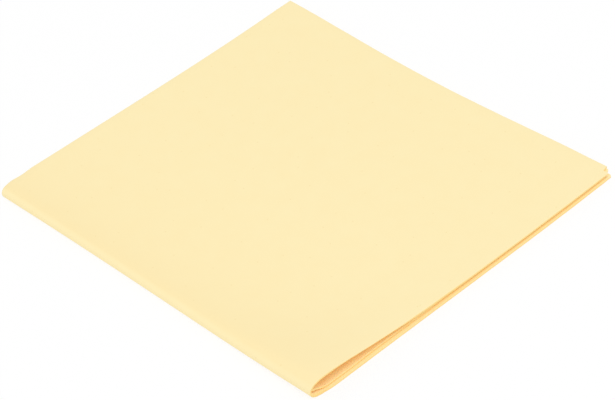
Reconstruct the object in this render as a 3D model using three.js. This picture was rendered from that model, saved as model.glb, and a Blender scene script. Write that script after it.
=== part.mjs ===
// Window cleaning cloth: one sheet of soft nonwoven, folded in half and then in half again.
// Millimetres, +Z up. The origin is the middle of the underside of the folded cloth.
// The side fold lies at -X, the two edge folds at +Y, and the cut edges at +X and -Y.
// The sheet is divided along its creases: four quarters, the strips that bend round the folds,
// and the centre of the sheet, where both folds cross. The upper half opens about the side fold.

import * as THREE from 'three';

// The sheet as it is cut
const SHEET_WIDTH = 350;
const SHEET_LENGTH = 400;
const CLOTH_THICKNESS = 0.8;

// Air between the four layers, and the slit between pieces that follow each other in the sheet
const LAYER_GAP = 0.3;
const CREASE_SLIT = 0.3;

// Side fold: the room inside its bend, how far it puffs above the flat stack, and how soon that fades
const SIDE_FOLD_INSIDE = 0.9;
const SIDE_FOLD_PUFF = 1.2;
const SIDE_FOLD_FADE = 4.5;

// Mouth: at the front end the side fold springs open and lifts the upper half
const MOUTH_INSIDE = 4.6;
const MOUTH_RISE = 4.6;
const MOUTH_FADE_ACROSS = 13;
const MOUTH_FADE_BACK = 18;

// Cut edges: the inner layers lie a little behind the outer ones, and the side edge bows inwards
const INNER_SETBACK_FRONT = 1.8;
const INNER_SETBACK_SIDE = 0.6;
const SIDE_EDGE_BOW = 2.2;
const TOP_CORNER_CUT = 2.5;

// Mesh divisions
const PANEL_STEPS = 11;
const FLAT_STEPS = 1;
const BEND_STEPS = 6;
const EDGE_BEND_STEPS = 8;

const CLOTH_COLOUR = 0xfdebba;
const INNER_COLOUR = 0xfbe3ab;
const CLOTH_ROUGHNESS = 0.95;

// Sizes that follow from those above
const WIDTH = SHEET_WIDTH / 2;
const LENGTH = SHEET_LENGTH / 2;
const PAIR_DEPTH = 2 * CLOTH_THICKNESS + LAYER_GAP;
const STACK_HEIGHT = 2 * PAIR_DEPTH + LAYER_GAP;
const EDGE_FOLD_RADIUS = PAIR_DEPTH / 2;
const FRONT = -LENGTH / 2;
const EDGE_FOLD_START = LENGTH / 2 - EDGE_FOLD_RADIUS;
const PANEL_BACK = EDGE_FOLD_START - CREASE_SLIT;

// The outer ply lies against the outside of the fold, the inner ply inside it.
// A depth is measured from the outer skin towards the inside of the fold.
const OUTER_PLY = {
  skin: 0,
  back: CLOTH_THICKNESS,
  front: FRONT,
  setback: 0,
};
const INNER_PLY = {
  skin: CLOTH_THICKNESS + LAYER_GAP,
  back: PAIR_DEPTH,
  front: FRONT + INNER_SETBACK_FRONT,
  setback: INNER_SETBACK_SIDE,
};

// Falls from 1 to 0 with no kink at the start, as a bent sheet settles
function fade(distance) {
  const u = Math.max(distance, 0);
  return (1 + u) * Math.exp(-u);
}

function mouthShare(y) {
  return fade((y - FRONT) / MOUTH_FADE_BACK);
}

// How far the bend reaches in from the apex of the side fold
function bendReach(y) {
  return PAIR_DEPTH + SIDE_FOLD_INSIDE + MOUTH_INSIDE * mouthShare(y);
}

function bendHeight(y) {
  return STACK_HEIGHT + SIDE_FOLD_PUFF + MOUTH_RISE * mouthShare(y);
}

// Height of the top skin at a distance across from the apex
function topHeight(across, y) {
  const length = SIDE_FOLD_FADE + MOUTH_FADE_ACROSS * mouthShare(y);
  const puff = bendHeight(y) - STACK_HEIGHT;
  return STACK_HEIGHT + puff * fade((across - bendReach(y)) / length);
}

// The cut edge at +X
function sideEdge(y, setback, cornerCut) {
  const share = (2 * y) / LENGTH;
  const bow = SIDE_EDGE_BOW * Math.max(0, 1 - share * share);
  const cut = Math.max(0, cornerCut - (y - FRONT));
  return WIDTH - bow - setback - cut;
}

function place(across, y, z) {
  return new THREE.Vector3(across - WIDTH / 2, y, z);
}

function lowerPoint(across, depth, y) {
  return place(across, y, depth);
}

function upperPoint(across, depth, y) {
  return place(across, y, topHeight(across, y) - depth);
}

// Angle 0 is the apex of the side fold, -90 degrees its lower end and +90 degrees its upper end
function bendPoint(angle, depth, y) {
  const reach = bendReach(y);
  const middle = bendHeight(y) / 2;
  const across = reach - (reach - depth) * Math.cos(angle);
  return place(across, y, middle + (middle - depth) * Math.sin(angle));
}

// The angle at which a bend strip stops short of the apex, by half a slit
function apexAngle(y) {
  return Math.asin(CREASE_SLIT / bendHeight(y));
}

function between(low, high, share) {
  return low + (high - low) * share;
}

// Stations crowd towards the mouth, where the cloth bends most
function crowded(low, high, share) {
  return between(low, high, share * share);
}

// A closed solid between two faces of a grid; pointAt(u, v, face) has u and v from 0 to 1
function closedSheet(columns, rows, pointAt) {
  const positions = [];
  const triangles = [];
  const perFace = (columns + 1) * (rows + 1);
  const corner = (face, i, j) => face * perFace + j * (columns + 1) + i;
  const quad = (a, b, c, d) => triangles.push(a, b, c, a, c, d);
  for (const face of [0, 1]) {
    for (let j = 0; j <= rows; j += 1) {
      for (let i = 0; i <= columns; i += 1) {
        positions.push(...pointAt(i / columns, j / rows, face).toArray());
      }
    }
  }
  for (let j = 0; j < rows; j += 1) {
    for (let i = 0; i < columns; i += 1) {
      quad(corner(0, i, j), corner(0, i + 1, j), corner(0, i + 1, j + 1), corner(0, i, j + 1));
      quad(corner(1, i, j), corner(1, i, j + 1), corner(1, i + 1, j + 1), corner(1, i + 1, j));
    }
  }
  for (let i = 0; i < columns; i += 1) {
    quad(corner(0, i + 1, 0), corner(0, i, 0), corner(1, i, 0), corner(1, i + 1, 0));
    quad(corner(0, i, rows), corner(0, i + 1, rows), corner(1, i + 1, rows), corner(1, i, rows));
  }
  for (let j = 0; j < rows; j += 1) {
    quad(corner(0, 0, j), corner(0, 0, j + 1), corner(1, 0, j + 1), corner(1, 0, j));
    quad(corner(0, columns, j + 1), corner(0, columns, j), corner(1, columns, j), corner(1, columns, j + 1));
  }
  const geometry = new THREE.BufferGeometry();
  geometry.setAttribute('position', new THREE.Float32BufferAttribute(positions, 3));
  geometry.setIndex(triangles);
  if (signedVolume(geometry) < 0) {
    geometry.setIndex(triangles.reverse());
  }
  geometry.computeVertexNormals();
  return geometry;
}

function signedVolume(geometry) {
  const position = geometry.getAttribute('position');
  const index = geometry.getIndex();
  const a = new THREE.Vector3();
  const b = new THREE.Vector3();
  const c = new THREE.Vector3();
  let volume = 0;
  for (let k = 0; k < index.count; k += 3) {
    a.fromBufferAttribute(position, index.getX(k));
    b.fromBufferAttribute(position, index.getX(k + 1));
    c.fromBufferAttribute(position, index.getX(k + 2));
    volume += a.dot(b.cross(c)) / 6;
  }
  return volume;
}

// A quarter of the sheet, from its side fold to its cut edge
function quarter(ply, pathPoint, steps, cornerCut) {
  return closedSheet(steps, PANEL_STEPS, (u, v, face) => {
    const y = crowded(ply.front, PANEL_BACK, v);
    const start = bendReach(y) + CREASE_SLIT;
    const across = crowded(start, sideEdge(y, ply.setback, cornerCut), u);
    return pathPoint(across, face ? ply.back : ply.skin, y);
  });
}

// Half of the side fold's bend in one ply; turn is -1 for the lower half and +1 for the upper
function sideFold(ply, turn) {
  return closedSheet(BEND_STEPS, PANEL_STEPS, (u, v, face) => {
    const y = crowded(ply.front, PANEL_BACK, v);
    const angle = between(apexAngle(y), Math.PI / 2, u);
    return bendPoint(turn * angle, face ? ply.back : ply.skin, y);
  });
}

// The half-round bend that joins the outer ply to the inner ply at +Y
function edgeBend(spin, face) {
  const radius = face ? EDGE_FOLD_RADIUS - CLOTH_THICKNESS : EDGE_FOLD_RADIUS;
  return {
    depth: EDGE_FOLD_RADIUS - radius * Math.cos(spin),
    y: EDGE_FOLD_START + radius * Math.sin(spin),
  };
}

function edgeFold(pathPoint, steps) {
  return closedSheet(steps, EDGE_BEND_STEPS, (u, v, face) => {
    const bend = edgeBend(v * Math.PI, face);
    const start = bendReach(bend.y) + CREASE_SLIT;
    const across = crowded(start, sideEdge(bend.y, between(0, INNER_SETBACK_SIDE, v), 0), u);
    return pathPoint(across, bend.depth, bend.y);
  });
}

function centreFold(turn) {
  return closedSheet(BEND_STEPS, EDGE_BEND_STEPS, (u, v, face) => {
    const bend = edgeBend(v * Math.PI, face);
    const angle = between(apexAngle(bend.y), Math.PI / 2, u);
    return bendPoint(turn * angle, bend.depth, bend.y);
  });
}

function piece(name, geometry, colour) {
  const material = new THREE.MeshStandardMaterial({
    color: colour,
    roughness: CLOTH_ROUGHNESS,
    metalness: 0,
  });
  const mesh = new THREE.Mesh(geometry, material);
  mesh.name = name;
  return mesh;
}

// The half that lies on the table
const lowerHalf = new THREE.Group();
lowerHalf.add(
  piece('bottom_quarter', quarter(OUTER_PLY, lowerPoint, FLAT_STEPS, 0), CLOTH_COLOUR),
  piece('lower_inner_quarter', quarter(INNER_PLY, lowerPoint, FLAT_STEPS, 0), INNER_COLOUR),
  piece('outer_side_fold_lower', sideFold(OUTER_PLY, -1), CLOTH_COLOUR),
  piece('inner_side_fold_lower', sideFold(INNER_PLY, -1), INNER_COLOUR),
  piece('lower_edge_fold', edgeFold(lowerPoint, FLAT_STEPS), CLOTH_COLOUR),
  piece('centre_fold_lower', centreFold(-1), CLOTH_COLOUR),
);

// The half that swings open about the apex of the side fold
const upperHalf = new THREE.Group();
upperHalf.add(
  piece('top_quarter', quarter(OUTER_PLY, upperPoint, PANEL_STEPS, TOP_CORNER_CUT), CLOTH_COLOUR),
  piece('upper_inner_quarter', quarter(INNER_PLY, upperPoint, PANEL_STEPS, 0), INNER_COLOUR),
  piece('outer_side_fold_upper', sideFold(OUTER_PLY, 1), CLOTH_COLOUR),
  piece('inner_side_fold_upper', sideFold(INNER_PLY, 1), INNER_COLOUR),
  piece('upper_edge_fold', edgeFold(upperPoint, PANEL_STEPS), CLOTH_COLOUR),
  piece('centre_fold_upper', centreFold(1), CLOTH_COLOUR),
);

const cloth = new THREE.Group();
cloth.add(lowerHalf, upperHalf);

export default cloth;
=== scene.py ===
# Window cleaning cloth: one sheet of pale yellow nonwoven, folded in half and in half again.
# Metres, +Z up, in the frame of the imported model. The side fold lies at -X and the edge folds at +Y.

import math

import bpy
from mathutils import Matrix, Vector, noise


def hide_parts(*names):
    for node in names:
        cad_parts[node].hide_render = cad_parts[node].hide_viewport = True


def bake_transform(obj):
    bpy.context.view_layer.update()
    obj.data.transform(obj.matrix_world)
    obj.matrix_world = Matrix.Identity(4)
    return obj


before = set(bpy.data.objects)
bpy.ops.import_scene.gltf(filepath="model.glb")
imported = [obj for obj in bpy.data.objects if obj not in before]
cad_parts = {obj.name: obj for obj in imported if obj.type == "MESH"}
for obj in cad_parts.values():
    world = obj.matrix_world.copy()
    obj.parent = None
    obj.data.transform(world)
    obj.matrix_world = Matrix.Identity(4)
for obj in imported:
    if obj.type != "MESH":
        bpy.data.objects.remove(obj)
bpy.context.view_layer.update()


# The four quarters of the cloth. They are one sheet of viscose nonwoven, needled and cut with plain edges,
# folded in half at the back and in half again at the left, so that two pairs of layers lie on each other.
# The sheet is drawn flat, given its thickness, and folded point by point round its creases.

MM = 0.001
SHEET_WIDTH = 350 * MM
SHEET_LENGTH = 400 * MM
CLOTH_THICKNESS = 0.92 * MM
LAYER_GAP = 0.14 * MM

# The side fold puffs a little above the flat stack, and its open front end, the mouth, lifts the upper half
SIDE_FOLD_INSIDE = 0.82 * MM
SIDE_FOLD_PUFF = 1.2 * MM
SIDE_FOLD_FADE = 4.5 * MM
MOUTH_INSIDE = 4.6 * MM
MOUTH_RISE = 4.6 * MM
MOUTH_FADE_ACROSS = 13 * MM
MOUTH_FADE_BACK = 18 * MM

# Sizes that follow from those above
WIDTH = SHEET_WIDTH / 2
LENGTH = SHEET_LENGTH / 2
PAIR_DEPTH = 2 * CLOTH_THICKNESS + LAYER_GAP
STACK_HEIGHT = 2 * PAIR_DEPTH + LAYER_GAP
EDGE_FOLD_RADIUS = PAIR_DEPTH / 2
EDGE_BEND_LENGTH = math.pi * (EDGE_FOLD_RADIUS - CLOTH_THICKNESS / 2)
FRONT = -LENGTH / 2
EDGE_FOLD_START = LENGTH / 2 - EDGE_FOLD_RADIUS
QUARTER_TURN = math.pi / 2

# The quarters start this far past the bend of the side fold, where the sheet is nearly flat
STRIP_MARGIN = 3 * MM

# The mouth reaches back to here, which is this share of the way along the rows of the mesh
MOUTH_END = -62 * MM
MOUTH_ROW_SHARE = 0.19


def fade(distance):
    # Falls from 1 to 0 with no kink at the start, as a bent sheet settles
    share = max(distance, 0.0)
    return (1 + share) * math.exp(-share)


def mouth_share(y):
    return fade((y - FRONT) / MOUTH_FADE_BACK)


def bend_reach(y):
    return PAIR_DEPTH + SIDE_FOLD_INSIDE + MOUTH_INSIDE * mouth_share(y)


def bend_height(y):
    return STACK_HEIGHT + SIDE_FOLD_PUFF + MOUTH_RISE * mouth_share(y)


def top_height(across, y):
    length = SIDE_FOLD_FADE + MOUTH_FADE_ACROSS * mouth_share(y)
    puff = bend_height(y) - STACK_HEIGHT
    return STACK_HEIGHT + puff * fade((across - bend_reach(y)) / length)


# The four sides aren't quite straight: how far each draws in at its middle, how that leans towards one end,
# and how it grows away from the middle
SIDE_EDGE_BOW = (2.86 * MM, 0.62 * MM, -2.9 * MM)
SIDE_FOLD_BOW = (0.86 * MM, 0.12 * MM, 0.0)
EDGE_FOLD_BOW = (1.21 * MM, 1.28 * MM, 0.0)
FRONT_EDGE_BOW = (-0.24 * MM, -0.56 * MM, 0.0)


def drawn_in(share, bow):
    middle, lean, growth = bow
    share = min(max(share, -1.0), 1.0)
    return (1 - share * share) * (middle + lean * share + growth * share * share)


# Cut edges of soft cloth wander a little: how far and at what length. The seeds go with the angle round the
# side fold and with the ply, so that every layer wanders its own way
EDGE_WAVES = [(0.10 * MM, 11 * MM), (0.04 * MM, 2.3 * MM)]
WAVE_SLICE = 0.5
FRONT_WAVE_SEEDS = (3.7, 11.3)
SIDE_WAVE_SEEDS = (5.1, 7.9)


def edge_wave(along, turn, inner, seeds):
    seed = seeds[0] * turn + seeds[1] * inner
    return sum(size * noise.noise(Vector((along / length, seed, WAVE_SLICE))) for size, length in EDGE_WAVES)


# Each layer's front edge lies behind the line of the sheet or before it: how far all along, how much more
# near the side fold, where that is, and how wide. Round the fold the outer ply draws back and the inner ply
# comes forward
BOTTOM_FRONT_DRAW = (0.2 * MM, 0.75 * MM, 5.5 * MM, 4.5 * MM)
INNER_FRONT_DRAW = (1.68 * MM, -0.33 * MM, 21 * MM, 8 * MM)
TOP_FRONT_DRAW = (-0.15 * MM, -0.3 * MM, 22 * MM, 24 * MM)
OUTER_FOLD_DRAW = 0.45 * MM
INNER_FOLD_DRAW = -0.6 * MM


def drawn_back(across, draw):
    all_along, near_fold, place, width = draw
    return all_along + near_fold * math.exp(-((across - place) / width) ** 2)


def front_edge(across, inner, turn):
    y = FRONT + drawn_in(2 * across / WIDTH - 1, FRONT_EDGE_BOW)
    y += edge_wave(across, turn, inner, FRONT_WAVE_SEEDS)
    outer_draw = BOTTOM_FRONT_DRAW if turn < 0 else TOP_FRONT_DRAW
    y += drawn_back(across, outer_draw) * abs(math.sin(turn)) * (1 - inner)
    y += (OUTER_FOLD_DRAW + (INNER_FOLD_DRAW - OUTER_FOLD_DRAW) * inner) * math.cos(turn) ** 2
    return y + drawn_back(across, INNER_FRONT_DRAW) * inner


# At the cut side edge the inner ply lies a little behind the outer one
LOWER_SETBACK_SIDE = 0.6 * MM
UPPER_SETBACK_SIDE = 0.1 * MM

# The corner between the two cut edges: how far it is blunted along the front edge and along the side edge
LOWER_CORNER = (1.1 * MM, 0.9 * MM)
UPPER_INNER_CORNER = (2.4 * MM, 0.8 * MM)
TOP_CORNER = (0.5 * MM, 0.6 * MM)

# The top layer has a nick at that corner, and the next layer shows in it: its depth, and how far behind the
# front edge it starts and is full
NICK_DEPTH = 2.95 * MM
NICK_FROM = 3.45 * MM
NICK_TO = 2.7 * MM

# Towards that corner the upper pair of layers spreads outwards: how far, and from what distance
UPPER_SPREAD = 0.3 * MM
UPPER_SPREAD_FROM = 14 * MM


def ease(share):
    share = min(max(share, 0.0), 1.0)
    return share * share * (3 - 2 * share)


def side_edge(y, front, inner, turn):
    setback = LOWER_SETBACK_SIDE if turn < 0 else UPPER_SETBACK_SIDE
    across = WIDTH - drawn_in(2 * y / LENGTH, SIDE_EDGE_BOW) - setback * inner
    across += edge_wave(y, turn, inner, SIDE_WAVE_SEEDS)
    wide, deep = LOWER_CORNER if turn < 0 else UPPER_INNER_CORNER
    if turn > 0:
        across += UPPER_SPREAD * (1 - ease((y - front) / UPPER_SPREAD_FROM))
    if turn > 0 and inner < 0.5:
        wide, deep = TOP_CORNER
        nick = (NICK_FROM - (y - front)) / (NICK_FROM - NICK_TO)
        across -= NICK_DEPTH * min(max(nick, 0.0), 1.0)
    rise = min(max((y - front) / deep, 0.0), 1.0)
    return across - wide * (1 - math.sqrt(rise))


# At the left corner, where both folds meet, the edge fold draws back in two soft steps, and at its other end
# in a small one: from, to and how far
BACK_STEPS = [(20 * MM, 12 * MM, 0.9 * MM), (9 * MM, 0.0, 1.7 * MM), (166 * MM, WIDTH, 0.35 * MM)]


def back_edge(across):
    y = EDGE_FOLD_START - drawn_in(2 * across / WIDTH - 1, EDGE_FOLD_BOW)
    for step_from, step_to, depth in BACK_STEPS:
        y -= depth * ease((across - step_from) / (step_to - step_from))
    return y


def along_sheet(front, start, back):
    if back < MOUTH_ROW_SHARE:
        return front + (MOUTH_END - front) * back / MOUTH_ROW_SHARE
    return MOUTH_END + (start - MOUTH_END) * (back - MOUTH_ROW_SHARE) / (1 - MOUTH_ROW_SHARE)


# A cut edge is worn slightly round, and a corner between two of them is worn thin
CUT_STATIONS = [0.0, 0.05 * MM, 0.12 * MM, 0.2 * MM]
CUT_FLAT_SHARE = 0.8
CORNER_THINNING = 0.4
CORNER_REACH = 3 * MM
MIDDLE_LEVEL = 0.5


def worn_level(level, to_side, to_front):
    rest = 1 - min(max(min(to_side, to_front) / CUT_STATIONS[-1], 0.0), 1.0)
    share = CUT_FLAT_SHARE + (1 - CUT_FLAT_SHARE) * math.sqrt(1 - rest * rest)
    share *= 1 - CORNER_THINNING * (1 - ease(max(to_side, to_front) / CORNER_REACH))
    return MIDDLE_LEVEL + (level - MIDDLE_LEVEL) * share


# Over the mouth nothing presses on the top layer's front edge from below, and its underside tapers towards
# the cut: by what share, over what depth, and where along the edge that starts and ends
LIP_THINNING = 0.6
LIP_DEPTH = 2 * MM
LIP_FROM = (8 * MM, 22 * MM)
LIP_TO = (42 * MM, 58 * MM)


def lip_thinning(across, to_front, inner, turn):
    if turn <= 0 or inner > 0:
        return 0.0
    start = ease((across - LIP_FROM[0]) / (LIP_FROM[1] - LIP_FROM[0]))
    end = ease((across - LIP_TO[0]) / (LIP_TO[1] - LIP_TO[0]))
    return LIP_THINNING * start * (1 - end) * (1 - ease(to_front / LIP_DEPTH))


# At the mouth the lower inner ply slopes up off the outer one towards the bend. The outer ply isn't pressed
# there: its inside swells and follows the inner ply, but for a small hole beside the bend
PLY_LIFT = 2.1 * MM
PLY_LIFT_FROM = 3 * MM
SWELL_SHARE = 0.62


def ply_lift(across, y, inner, turn, level):
    lift_end = bend_reach(y) + STRIP_MARGIN
    near_bend = 1 - ease((across - PLY_LIFT_FROM) / (lift_end - PLY_LIFT_FROM))
    swell = SWELL_SHARE * level * math.sqrt(max(-math.sin(turn), 0.0))
    return PLY_LIFT * mouth_share(y) * near_bend * max(inner, swell) * (1 - math.sin(turn)) / 2


# At its front end the side fold draws in a little: how far, and how soon that fades
FOLD_END_DRAW = 0.25 * MM
FOLD_END_FADE = 6 * MM


def fold_point(turn, near, far, spin, back, level):
    # turn is the angle round the side fold and spin that round the edge fold. near and far lead on to the
    # side cut edge, back leads from the front cut edge to the edge fold, and level is 0 or 1 for the sheet's
    # two faces
    inner = spin / math.pi
    place = bend_reach(along_sheet(FRONT, EDGE_FOLD_START, back)) * (1 - math.cos(turn)) + near
    place += (WIDTH - place) * far
    front = front_edge(place, inner, turn)
    y_flat = along_sheet(front, back_edge(place), back)
    apex = drawn_in(2 * y_flat / LENGTH, SIDE_FOLD_BOW)
    apex += FOLD_END_DRAW * fade((y_flat - FRONT) / FOLD_END_FADE)
    panel = side_edge(y_flat, front, inner, turn) - apex - bend_reach(y_flat) - STRIP_MARGIN
    to_side = (1 - far) * panel
    to_front = y_flat - front if inner in (0.0, 1.0) else LENGTH
    thickness = CLOTH_THICKNESS * (1 - lip_thinning(place, to_front, inner, turn))
    radius = EDGE_FOLD_RADIUS - worn_level(level, to_side, to_front) * thickness
    depth = EDGE_FOLD_RADIUS - radius * math.cos(spin)
    y = y_flat + radius * math.sin(spin)
    reach = bend_reach(y)
    middle = bend_height(y) / 2
    across = reach - (reach - depth) * math.cos(turn) + near + far * panel
    z = middle + (middle - depth) * math.sin(turn) + ply_lift(across, y, inner, turn, level)
    if turn > 0:
        z += top_height(across, y) - 2 * middle
    return Vector((apex + across - WIDTH / 2, y, z))


# Rows of the mesh run across the sheet and columns along it. They crowd towards the mouth, the higher the
# power the more
MOUTH_STEPS = 22
MOUTH_CROWDING = 1.6
LENGTH_STEPS = 44
EVEN = 1.0
EDGE_BEND_STEPS = 12


def crowded(low, high, steps, power):
    return [low + (high - low) * (k / steps) ** power for k in range(steps + 1)]


def mouth_rows():
    # From the cut edge to the end of the mouth, with a row at each end of the nick
    scale = MOUTH_ROW_SHARE / (MOUTH_END - FRONT)
    backs = [distance * scale for distance in CUT_STATIONS[:-1] + [NICK_FROM, NICK_TO]]
    backs += crowded(CUT_STATIONS[-1] * scale, MOUTH_ROW_SHARE, MOUTH_STEPS, MOUTH_CROWDING)
    return sorted(backs)


def sheet_rows():
    # Along the sheet from its outer front edge, round the edge fold, to its inner front edge
    backs = mouth_rows() + crowded(MOUTH_ROW_SHARE, 1.0, LENGTH_STEPS, EVEN)[1:]
    rows = [(0.0, back) for back in backs]
    rows += [(math.pi * k / EDGE_BEND_STEPS, 1.0) for k in range(1, EDGE_BEND_STEPS)]
    rows += [(math.pi, back) for back in reversed(backs)]
    return rows


WIDTH_STEPS = 56
WIDTH_CROWDING = 1.4


def quarter_columns(turn):
    width = WIDTH - bend_reach(0) - STRIP_MARGIN
    cut_fars = [1 - distance / width for distance in CUT_STATIONS]
    fars = crowded(0.0, cut_fars[-1], WIDTH_STEPS, WIDTH_CROWDING) + cut_fars[-2::-1]
    return [(turn, STRIP_MARGIN, far) for far in fars]


# Half of the side fold's bend takes up this much of the flat sheet, and more at the mouth
BEND_HALF_LENGTH = 5 * MM


def flat_place(turn, near, far, spin, back):
    # Where a point lies on the unfolded sheet, from the crossing of its two creases
    half_bend = BEND_HALF_LENGTH + MOUTH_INSIDE * mouth_share(along_sheet(FRONT, EDGE_FOLD_START, back))
    side = turn / QUARTER_TURN * half_bend + math.copysign(near + far * WIDTH, turn)
    along = (spin / math.pi - 0.5) * EDGE_BEND_LENGTH
    return side, along + math.copysign((1 - back) * LENGTH, along)


# A piece starts as a flat grid of this size, thickened as much, whose points are then folded
GRID_SIZE = 2
SMOOTH_ANGLE = math.radians(50)


def folded_sheet(name, columns, rows):
    last_column = len(columns) - 1
    last_row = len(rows) - 1
    bpy.ops.object.select_all(action="DESELECT")
    bpy.ops.mesh.primitive_grid_add(x_subdivisions=last_column, y_subdivisions=last_row, size=GRID_SIZE)
    sheet = bpy.context.object
    sheet.name = name
    thicken = sheet.modifiers.new("Thickness", "SOLIDIFY")
    thicken.thickness = GRID_SIZE
    thicken.offset = 0
    bpy.ops.object.modifier_apply(modifier=thicken.name)
    flat_map = sheet.data.uv_layers.active
    flat_map.name = "flat_sheet"
    places = []
    cut_edge = sheet.data.attributes.new("cut_edge", "FLOAT", "POINT")
    for vertex in sheet.data.vertices:
        column = columns[round((vertex.co.x / GRID_SIZE + 0.5) * last_column)]
        row = rows[round((vertex.co.y / GRID_SIZE + 0.5) * last_row)]
        level = 0.0 if vertex.co.z > 0 else 1.0
        vertex.co = fold_point(*column, *row, level)
        places.append(flat_place(*column, *row))
        cut_edge.data[vertex.index].value = 1.0 if column[2] == 1.0 or row[1] == 0.0 else 0.0
    for loop in sheet.data.loops:
        flat_map.data[loop.index].uv = places[loop.vertex_index]
    bpy.ops.object.mode_set(mode="EDIT")
    bpy.ops.mesh.select_all(action="SELECT")
    bpy.ops.mesh.normals_make_consistent(inside=False)
    bpy.ops.object.mode_set(mode="OBJECT")
    bpy.ops.object.shade_smooth_by_angle(angle=SMOOTH_ANGLE)
    return sheet


def joined(name, first, second):
    bpy.ops.object.select_all(action="DESELECT")
    second.select_set(True)
    first.select_set(True)
    bpy.context.view_layer.objects.active = first
    bpy.ops.object.join()
    first.name = name
    return first


def linear(hex_colour):
    channels = [int(hex_colour[k:k + 2], 16) / 255 for k in (1, 3, 5)]
    return [c / 12.92 if c <= 0.04045 else ((c + 0.055) / 1.055) ** 2.4 for c in channels] + [1.0]


def add_node(tree, kind, settings=None, inputs=None, links=None):
    node = tree.nodes.new(kind)
    for name, value in (settings or {}).items():
        setattr(node, name, value)
    for name, value in (inputs or {}).items():
        node.inputs[name].default_value = value
    for name, source in (links or {}).items():
        tree.links.new(source, node.inputs[name])
    return node


# Viscose nonwoven, needled and left unprinted: a matt felt of short fibres, which gives a soft even yellow
# with faint cloudy mottling where the web is denser and a few small knots of fibre. A slightly deeper tone
# is
# painted shade: along the side fold, where the top slopes away from the lamp past the crest, and on the cut
# faces, which face sideways. Single fibres are too fine to show, so the fibre pattern is drawn as wide as a
# bundle of them.
CLOUD_SIZE = 9 * MM
CLOUD_DETAIL = 4.0
FIBRE_BUNDLE = 0.9 * MM
FIBRE_DETAIL = 3.0
FIBRE_SHARE = 0.35
FIBRE_BUMP = 0.08 * MM
FIBRE_BUMP_STRENGTH = 0.25
FIBRE_RANGE = (0.3, 0.7)
NAP_ROUGHNESS = (0.88, 1.0)
SPECULAR_LEVEL = 0.05
KNOT_SPACING = 17 * MM
KNOT_RADIUS = 0.5 * MM
KNOT_STRENGTH = 0.6
WEB_COLOURS = ("#FFECB7", "#FFF0BF")
FOLD_SHADE_COLOUR = "#FEE7AF"
KNOT_COLOUR = "#F4DC9F"
CUT_FACE_SHADE_COLOUR = "#FDDE96"

# The painted shade beside the side fold: millimetres from the crease, and the share of the shade colour
FOLD_SHADE_WIDTH = 65 * MM
FOLD_SHADE_TONE = [(2.6, 0.0), (3.6, 0.2), (4.6, 0.45), (7, 0.4), (10, 0.3), (16, 0.22), (30, 0.12)]

felt = bpy.data.materials.new("viscose_nonwoven_needled")
felt.use_nodes = True
felt_nodes = felt.node_tree
felt_nodes.nodes.clear()
flat = add_node(felt_nodes, "ShaderNodeUVMap", {"uv_map": "flat_sheet"})
clouds = add_node(felt_nodes, "ShaderNodeTexNoise", {}, {"Scale": 1 / CLOUD_SIZE, "Detail": CLOUD_DETAIL},
                  {"Vector": flat.outputs["UV"]})
fibres = add_node(felt_nodes, "ShaderNodeTexNoise", {}, {"Scale": 1 / FIBRE_BUNDLE, "Detail": FIBRE_DETAIL},
                  {"Vector": flat.outputs["UV"]})
density = add_node(felt_nodes, "ShaderNodeMix", {}, {"Factor": FIBRE_SHARE},
                   {"A": clouds.outputs["Fac"], "B": fibres.outputs["Fac"]})
web = add_node(felt_nodes, "ShaderNodeMix", {"data_type": "RGBA"},
               {"A": linear(WEB_COLOURS[0]), "B": linear(WEB_COLOURS[1])},
               {"Factor": density.outputs["Result"]})

across_sheet = add_node(felt_nodes, "ShaderNodeSeparateXYZ", {}, {}, {"Vector": flat.outputs["UV"]})
from_fold = add_node(felt_nodes, "ShaderNodeMath", {"operation": "ABSOLUTE"}, {},
                     {"Value": across_sheet.outputs["X"]})
fold_share = add_node(felt_nodes, "ShaderNodeMapRange", {}, {"From Max": FOLD_SHADE_WIDTH},
                      {"Value": from_fold.outputs["Value"]})
# Painted shade: a deeper yellow just past the side fold's crest, where the top slopes away from the lamp
fold_shade_ramp = add_node(felt_nodes, "ShaderNodeValToRGB", {}, {}, {"Fac": fold_share.outputs["Result"]})
fold_shade_ramp.color_ramp.elements[1].color = (0.0, 0.0, 0.0, 1.0)
for distance, share in FOLD_SHADE_TONE:
    stop = fold_shade_ramp.color_ramp.elements.new(distance * MM / FOLD_SHADE_WIDTH)
    stop.color = (share, share, share, 1.0)
fold_shaded = add_node(felt_nodes, "ShaderNodeMix", {"data_type": "RGBA"}, {"B": linear(FOLD_SHADE_COLOUR)},
                   {"Factor": fold_shade_ramp.outputs["Color"], "A": web.outputs["Result"]})

knots = add_node(felt_nodes, "ShaderNodeTexVoronoi", {"voronoi_dimensions": "2D"},
                 {"Scale": 1 / KNOT_SPACING}, {"Vector": flat.outputs["UV"]})
knot_spot = add_node(felt_nodes, "ShaderNodeMapRange", {},
                     {"From Min": KNOT_RADIUS / KNOT_SPACING, "From Max": 0.0, "To Max": KNOT_STRENGTH},
                     {"Value": knots.outputs["Distance"]})
knotted = add_node(felt_nodes, "ShaderNodeMix", {"data_type": "RGBA"}, {"B": linear(KNOT_COLOUR)},
                   {"Factor": knot_spot.outputs["Result"], "A": fold_shaded.outputs["Result"]})

# Painted shade: the cut faces, which face sideways, get a deeper yellow
cut = add_node(felt_nodes, "ShaderNodeAttribute", {"attribute_name": "cut_edge"})
cut_face_shaded = add_node(felt_nodes, "ShaderNodeMix", {"data_type": "RGBA"}, {"B": linear(CUT_FACE_SHADE_COLOUR)},
                 {"Factor": cut.outputs["Fac"], "A": knotted.outputs["Result"]})

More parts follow.
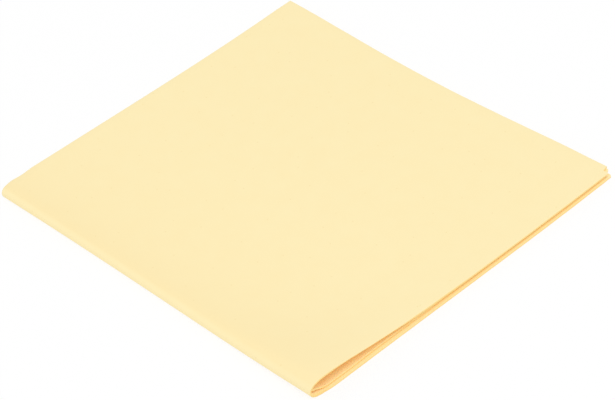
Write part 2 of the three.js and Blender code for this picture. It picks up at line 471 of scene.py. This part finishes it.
nap = add_node(felt_nodes, "ShaderNodeMapRange", {},
               {"From Min": FIBRE_RANGE[0], "From Max": FIBRE_RANGE[1],
                "To Min": NAP_ROUGHNESS[0], "To Max": NAP_ROUGHNESS[1]},
               {"Value": fibres.outputs["Fac"]})
bump = add_node(felt_nodes, "ShaderNodeBump", {}, {"Strength": FIBRE_BUMP_STRENGTH, "Distance": FIBRE_BUMP},
                {"Height": fibres.outputs["Fac"]})
surface = add_node(felt_nodes, "ShaderNodeBsdfPrincipled", {}, {"Specular IOR Level": SPECULAR_LEVEL},
                   {"Base Color": cut_face_shaded.outputs["Result"], "Roughness": nap.outputs["Result"],
                    "Normal": bump.outputs["Normal"]})
add_node(felt_nodes, "ShaderNodeOutputMaterial", {}, {}, {"Surface": surface.outputs["BSDF"]})

# The lower pair of layers and the upper pair, each folded from the same rows and joined into one piece
rows = sheet_rows()
lower_quarters = folded_sheet("lower_quarters", quarter_columns(-QUARTER_TURN), rows)
upper_quarters = folded_sheet("upper_quarters", quarter_columns(QUARTER_TURN), rows)
cloth = joined("cloth_quarters", lower_quarters, upper_quarters)
cloth.data.materials.append(felt)
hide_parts("bottom_quarter", "lower_inner_quarter", "lower_edge_fold",
            "top_quarter", "upper_inner_quarter", "upper_edge_fold")
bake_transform(cloth)


# The side fold. It is the same sheet where it bends round from the lower pair of layers to the upper pair,
# round and a little puffed along most of its length. It is folded as the quarters are and runs on from them.

BEND_STEPS = 32
MARGIN_STEPS = 6
MOUTH_ROW_COUNT = len(mouth_rows())


def strip_columns():
    margin = [STRIP_MARGIN * k / MARGIN_STEPS for k in range(1, MARGIN_STEPS + 1)]
    columns = [(-QUARTER_TURN, near, 0.0) for near in reversed(margin)]
    columns += [(math.pi * (k / BEND_STEPS - 0.5), 0.0, 0.0) for k in range(BEND_STEPS + 1)]
    columns += [(QUARTER_TURN, near, 0.0) for near in margin]
    return columns


def turn_above(piece):
    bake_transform(piece)


side_fold = folded_sheet("side_fold_strip", strip_columns(), rows[MOUTH_ROW_COUNT - 1:1 - MOUTH_ROW_COUNT])
side_fold.data.materials.append(felt)
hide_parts("outer_side_fold_lower", "outer_side_fold_upper", "inner_side_fold_lower",
            "inner_side_fold_upper", "centre_fold_lower", "centre_fold_upper")
turn_above(side_fold)


# The mouth: the front end of the side fold, where both plies of the same sheet spring open at the cut edge.
# The inner ply's bend lies inside the outer one's.

mouth_outer = folded_sheet("mouth_outer", strip_columns(), rows[:MOUTH_ROW_COUNT])
mouth_inner = folded_sheet("mouth_inner", strip_columns(), rows[-MOUTH_ROW_COUNT:])
mouth = joined("side_fold_mouth", mouth_outer, mouth_inner)
mouth.data.materials.append(felt)
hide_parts("outer_side_fold_lower", "outer_side_fold_upper", "inner_side_fold_lower",
            "inner_side_fold_upper")
turn_above(mouth)


# The floor: a plain white table top, wide enough that its far edge never shows. The camera sees it nearly
# pure white, with part of the cloth's own shadow on it.

FLOOR_SIZE = 4.0
FLOOR_GLOW = 0.85
WHITE = linear("#FFFFFF")
bpy.ops.object.select_all(action="DESELECT")
bpy.ops.mesh.primitive_plane_add(size=FLOOR_SIZE)
floor = bpy.context.object
floor.name = "table_top"
laminate = bpy.data.materials.new("white_laminate_matt")
laminate.use_nodes = True
floor_nodes = laminate.node_tree
floor_nodes.nodes.clear()
light_path = add_node(floor_nodes, "ShaderNodeLightPath")
board = add_node(floor_nodes, "ShaderNodeBsdfDiffuse", {}, {"Color": WHITE})
glow = add_node(floor_nodes, "ShaderNodeEmission", {}, {"Color": WHITE, "Strength": 1.0})
seen = add_node(floor_nodes, "ShaderNodeMixShader", {}, {"Fac": FLOOR_GLOW},
                {1: board.outputs["BSDF"], 2: glow.outputs["Emission"]})
top_board = add_node(floor_nodes, "ShaderNodeMixShader", {}, {},
                     {"Fac": light_path.outputs["Is Camera Ray"], 1: board.outputs["BSDF"],
                      2: seen.outputs["Shader"]})
add_node(floor_nodes, "ShaderNodeOutputMaterial", {}, {}, {"Surface": top_board.outputs["Shader"]})
floor.data.materials.append(laminate)


# Studio light: an even white room, and one large soft lamp above the front left.

WORLD_LEVEL = 0.78
LAMP_SIZE = 1.8
LAMP_DISTANCE = 5.0
LAMP_POWER = 64.0
LAMP_DIRECTION = Vector((-0.34, -0.60, 1.15)).normalized()
room = bpy.data.worlds.new("white_room")
bpy.context.scene.world = room
room.use_nodes = True
walls = room.node_tree.nodes["Background"]
walls.inputs["Color"].default_value = WHITE
walls.inputs["Strength"].default_value = WORLD_LEVEL
bpy.ops.object.light_add(type="AREA", location=LAMP_DIRECTION * LAMP_DISTANCE)
lamp = bpy.context.object
lamp.name = "soft_lamp"
lamp.data.size = LAMP_SIZE
lamp.data.energy = LAMP_POWER
lamp.rotation_euler = LAMP_DIRECTION.to_track_quat("Z", "Y").to_euler()
bpy.context.scene.view_settings.view_transform = "Standard"

# Pale cloth lights its own folds, so light is followed through many bounces
LIGHT_BOUNCES = 32
bpy.context.scene.cycles.max_bounces = LIGHT_BOUNCES
bpy.context.scene.cycles.diffuse_bounces = LIGHT_BOUNCES


# The camera, at the photograph's viewing angle.

IMAGE_WIDTH = 615
FOCAL_PIXELS = 2540.1
SENSOR_WIDTH = 36
CLIP_END = 20
AZIMUTH = math.radians(-37.572)
ELEVATION = math.radians(39.5589)
ROLL = math.radians(-8.9526)
CAMERA_DISTANCE = 1078.44 * MM
TARGET = Vector((-3.933 * MM, -8.940 * MM, 0))
bpy.ops.object.camera_add()
camera = bpy.context.object
camera.data.sensor_fit = "HORIZONTAL"
camera.data.sensor_width = SENSOR_WIDTH
camera.data.lens = FOCAL_PIXELS * SENSOR_WIDTH / IMAGE_WIDTH
camera.data.clip_end = CLIP_END
back_way = Vector((math.sin(AZIMUTH) * math.cos(ELEVATION), -math.cos(AZIMUTH) * math.cos(ELEVATION),
                   math.sin(ELEVATION)))
level_right = (-back_way).cross(Vector((0, 0, 1))).normalized()
level_up = level_right.cross(-back_way)
right = level_right * math.cos(ROLL) + level_up * math.sin(ROLL)
up = level_up * math.cos(ROLL) - level_right * math.sin(ROLL)
turned = Matrix((right, up, back_way)).transposed().to_4x4()
camera.matrix_world = Matrix.Translation(TARGET + back_way * CAMERA_DISTANCE) @ turned
bpy.context.scene.camera = camera
